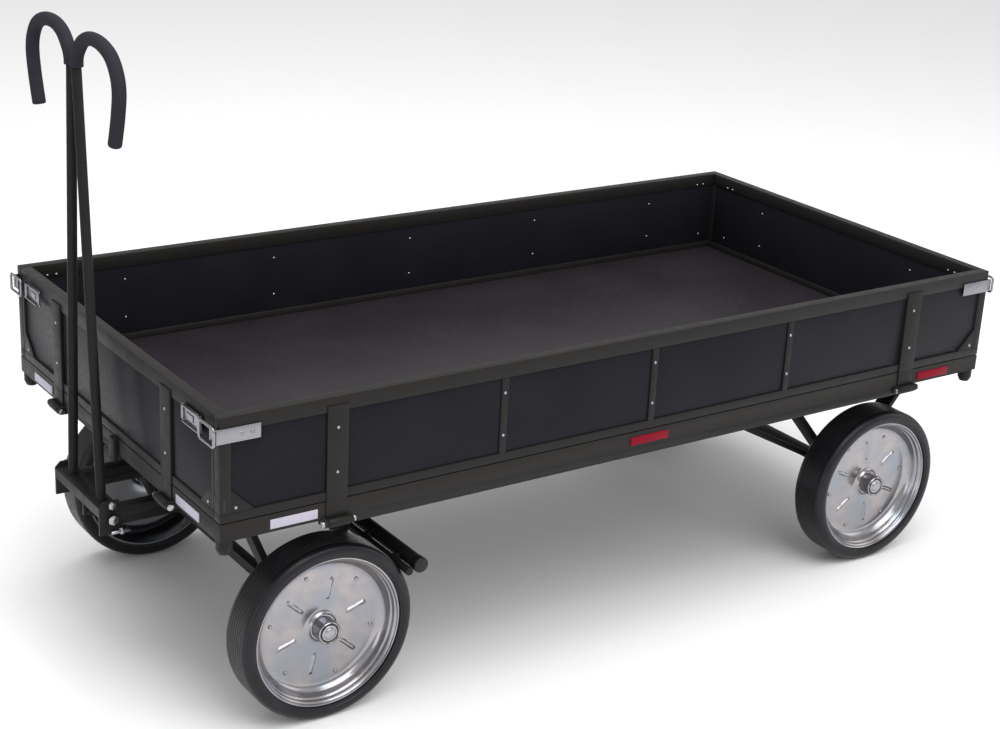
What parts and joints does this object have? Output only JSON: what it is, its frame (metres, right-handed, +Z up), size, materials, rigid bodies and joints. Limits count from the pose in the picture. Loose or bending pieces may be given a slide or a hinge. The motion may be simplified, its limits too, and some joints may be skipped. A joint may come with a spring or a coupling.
{
  "type": "platform hand truck with drop sides",
  "caption": "Four-wheel hand truck: plywood deck with four drop-down sides, turntable-steered front axle, upright two-handled drawbar linked to a parking brake.",
  "frame": {"origin": "middle of the truck's box at the level of the ground", "axes": "+X to the rear along the deck, +Y to the right-hand side, +Z up; the drawbar is at the -X end"},
  "size_m": [2.1994, 1.0886, 1.401],
  "materials": {
    "steel": "satin black powder coat on welded steel",
    "film_plywood": "phenolic film on plywood, smooth, near black with a blue cast",
    "zinc_steel": "bright zinc plating on pressed steel",
    "tyre_rubber": "matt black solid rubber",
    "foam_grip": "matt blue-black foam rubber sleeve"
  },
  "bodies": {
    "deck": {"deck_frame": "steel", "floor_board": "film_plywood", "drawbar_rest": "steel", "turntable_ring": "steel", "rear_axle": "steel", "rear_legs_left": "steel", "rear_legs_right": "steel", "left_side_hinge_pin_a": "zinc_steel", "left_side_hinge_pin_b": "zinc_steel", "right_side_hinge_pin_a": "zinc_steel", "right_side_hinge_pin_b": "zinc_steel", "front_side_hinge_pin_a": "zinc_steel", "front_side_hinge_pin_b": "zinc_steel", "rear_side_hinge_pin_a": "zinc_steel", "rear_side_hinge_pin_b": "zinc_steel"},
    "steering": {"steering_frame": "steel", "fork_arm_left": "steel", "fork_arm_right": "steel", "front_axle": "steel", "drawbar_pivot_bolt": "zinc_steel"},
    "drawbar": {"drawbar_frame": "steel", "drawbar_grip_left": "foam_grip", "drawbar_grip_right": "foam_grip"},
    "brake": {"brake_bar": "steel"},
    "brake_rod": {"brake_rod": "steel"},
    "wheel_front_left": {"front_left_tyre": "tyre_rubber", "front_left_rim": "zinc_steel", "front_left_hub": "zinc_steel"},
    "wheel_front_right": {"front_right_tyre": "tyre_rubber", "front_right_rim": "zinc_steel", "front_right_hub": "zinc_steel"},
    "wheel_rear_left": {"rear_left_tyre": "tyre_rubber", "rear_left_rim": "zinc_steel", "rear_left_hub": "zinc_steel"},
    "wheel_rear_right": {"rear_right_tyre": "tyre_rubber", "rear_right_rim": "zinc_steel", "rear_right_hub": "zinc_steel"},
    "left_side": {"left_side_frame": "steel", "left_side_board": "film_plywood", "left_side_keeper_a": "zinc_steel", "left_side_keeper_b": "zinc_steel"},
    "right_side": {"right_side_frame": "steel", "right_side_board": "film_plywood", "right_side_keeper_a": "zinc_steel", "right_side_keeper_b": "zinc_steel"},
    "front_side": {"front_side_frame": "steel", "front_side_board": "film_plywood"},
    "front_latch_lever_a": {"front_side_latch_lever_a": "zinc_steel"},
    "front_latch_bail_a": {"front_side_latch_bail_a": "zinc_steel"},
    "front_latch_lever_b": {"front_side_latch_lever_b": "zinc_steel"},
    "front_latch_bail_b": {"front_side_latch_bail_b": "zinc_steel"},
    "rear_side": {"rear_side_frame": "steel", "rear_side_board": "film_plywood"},
    "rear_latch_lever_a": {"rear_side_latch_lever_a": "zinc_steel"},
    "rear_latch_bail_a": {"rear_side_latch_bail_a": "zinc_steel"},
    "rear_latch_lever_b": {"rear_side_latch_lever_b": "zinc_steel"},
    "rear_latch_bail_b": {"rear_side_latch_bail_b": "zinc_steel"}
  },
  "joints": [
    {"name": "steering_turn", "type": "hinge", "parent": "deck", "child": "steering", "pos_m": [-0.74865, 0, 0.43538], "axis": [0, 0, 1], "range_deg": [-14, 14]},
    {"name": "drawbar_fold", "type": "hinge", "parent": "steering", "child": "drawbar", "pos_m": [-1.07165, 0, 0.38338], "axis": [0, -1, 0], "range_deg": [0, 90], "stiffness_Nm_per_rad": 20, "springref_deg": -20.05},
    {"name": "brake_swing", "type": "hinge", "parent": "steering", "child": "brake", "pos_m": [-0.56965, 0, 0.39538], "axis": [0, -1, 0], "range_deg": [0, 30.5]},
    {"name": "brake_rod_swing", "type": "hinge", "parent": "brake", "child": "brake_rod", "pos_m": [-0.56965, 0, 0.33738], "axis": [0, -1, 0], "range_deg": [-33, 0]},
    {"name": "front_left_wheel_spin", "type": "hinge", "parent": "steering", "child": "wheel_front_left", "pos_m": [-0.74865, -0.4385, 0.19938], "axis": [0, 1, 0], "continuous": true},
    {"name": "front_right_wheel_spin", "type": "hinge", "parent": "steering", "child": "wheel_front_right", "pos_m": [-0.74865, 0.4385, 0.19938], "axis": [0, 1, 0], "continuous": true},
    {"name": "rear_left_wheel_spin", "type": "hinge", "parent": "deck", "child": "wheel_rear_left", "pos_m": [0.82235, -0.4385, 0.19938], "axis": [0, 1, 0], "continuous": true},
    {"name": "rear_right_wheel_spin", "type": "hinge", "parent": "deck", "child": "wheel_rear_right", "pos_m": [0.82235, 0.4385, 0.19938], "axis": [0, 1, 0], "continuous": true},
    {"name": "left_side_drop", "type": "hinge", "parent": "deck", "child": "left_side", "pos_m": [0.03035, -0.5348, 0.48238], "axis": [1, 0, 0], "range_deg": [0, 170]},
    {"name": "right_side_drop", "type": "hinge", "parent": "deck", "child": "right_side", "pos_m": [0.03035, 0.5348, 0.48238], "axis": [-1, 0, 0], "range_deg": [0, 170]},
    {"name": "front_side_drop", "type": "hinge", "parent": "deck", "child": "front_side", "pos_m": [-1.02945, 0, 0.48238], "axis": [0, -1, 0], "range_deg": [0, 8]},
    {"name": "rear_side_drop", "type": "hinge", "parent": "deck", "child": "rear_side", "pos_m": [1.09015, 0, 0.48238], "axis": [0, 1, 0], "range_deg": [0, 165]},
    {"name": "front_latch_lever_a_swing", "type": "hinge", "parent": "front_side", "child": "front_latch_lever_a", "pos_m": [-1.02725, 0.454, 0.70988], "axis": [0, 0, -1], "range_deg": [0, 75]},
    {"name": "front_latch_bail_a_swing", "type": "hinge", "parent": "front_side", "child": "front_latch_bail_a", "pos_m": [-1.03365, 0.466, 0.70988], "axis": [0, 0, 1], "range_deg": [0, 45.5]},
    {"name": "front_latch_lever_b_swing", "type": "hinge", "parent": "front_side", "child": "front_latch_lever_b", "pos_m": [-1.02725, -0.454, 0.70988], "axis": [0, 0, 1], "range_deg": [0, 75]},
    {"name": "front_latch_bail_b_swing", "type": "hinge", "parent": "front_side", "child": "front_latch_bail_b", "pos_m": [-1.03365, -0.466, 0.70988], "axis": [0, 0, -1], "range_deg": [0, 45.5]},
    {"name": "rear_latch_lever_a_swing", "type": "hinge", "parent": "rear_side", "child": "rear_latch_lever_a", "pos_m": [1.08795, -0.454, 0.70988], "axis": [0, 0, -1], "range_deg": [0, 75]},
    {"name": "rear_latch_bail_a_swing", "type": "hinge", "parent": "rear_side", "child": "rear_latch_bail_a", "pos_m": [1.09435, -0.466, 0.70988], "axis": [0, 0, 1], "range_deg": [0, 45.5]},
    {"name": "rear_latch_lever_b_swing", "type": "hinge", "parent": "rear_side", "child": "rear_latch_lever_b", "pos_m": [1.08795, 0.454, 0.70988], "axis": [0, 0, 1], "range_deg": [0, 75]},
    {"name": "rear_latch_bail_b_swing", "type": "hinge", "parent": "rear_side", "child": "rear_latch_bail_b", "pos_m": [1.09435, 0.466, 0.70988], "axis": [0, 0, -1], "range_deg": [0, 45.5]}
  ],
  "couplings": [
    {"joint": "brake_swing", "follows": "drawbar_fold", "ratio": 0.3333},
    {"joint": "brake_rod_swing", "follows": "drawbar_fold", "ratio": -0.3615},
    {"joint": "front_latch_bail_a_swing", "follows": "front_latch_lever_a_swing", "ratio": 0.6},
    {"joint": "front_latch_bail_b_swing", "follows": "front_latch_lever_b_swing", "ratio": 0.6},
    {"joint": "rear_latch_bail_a_swing", "follows": "rear_latch_lever_a_swing", "ratio": 0.6},
    {"joint": "rear_latch_bail_b_swing", "follows": "rear_latch_lever_b_swing", "ratio": 0.6}
  ]
}
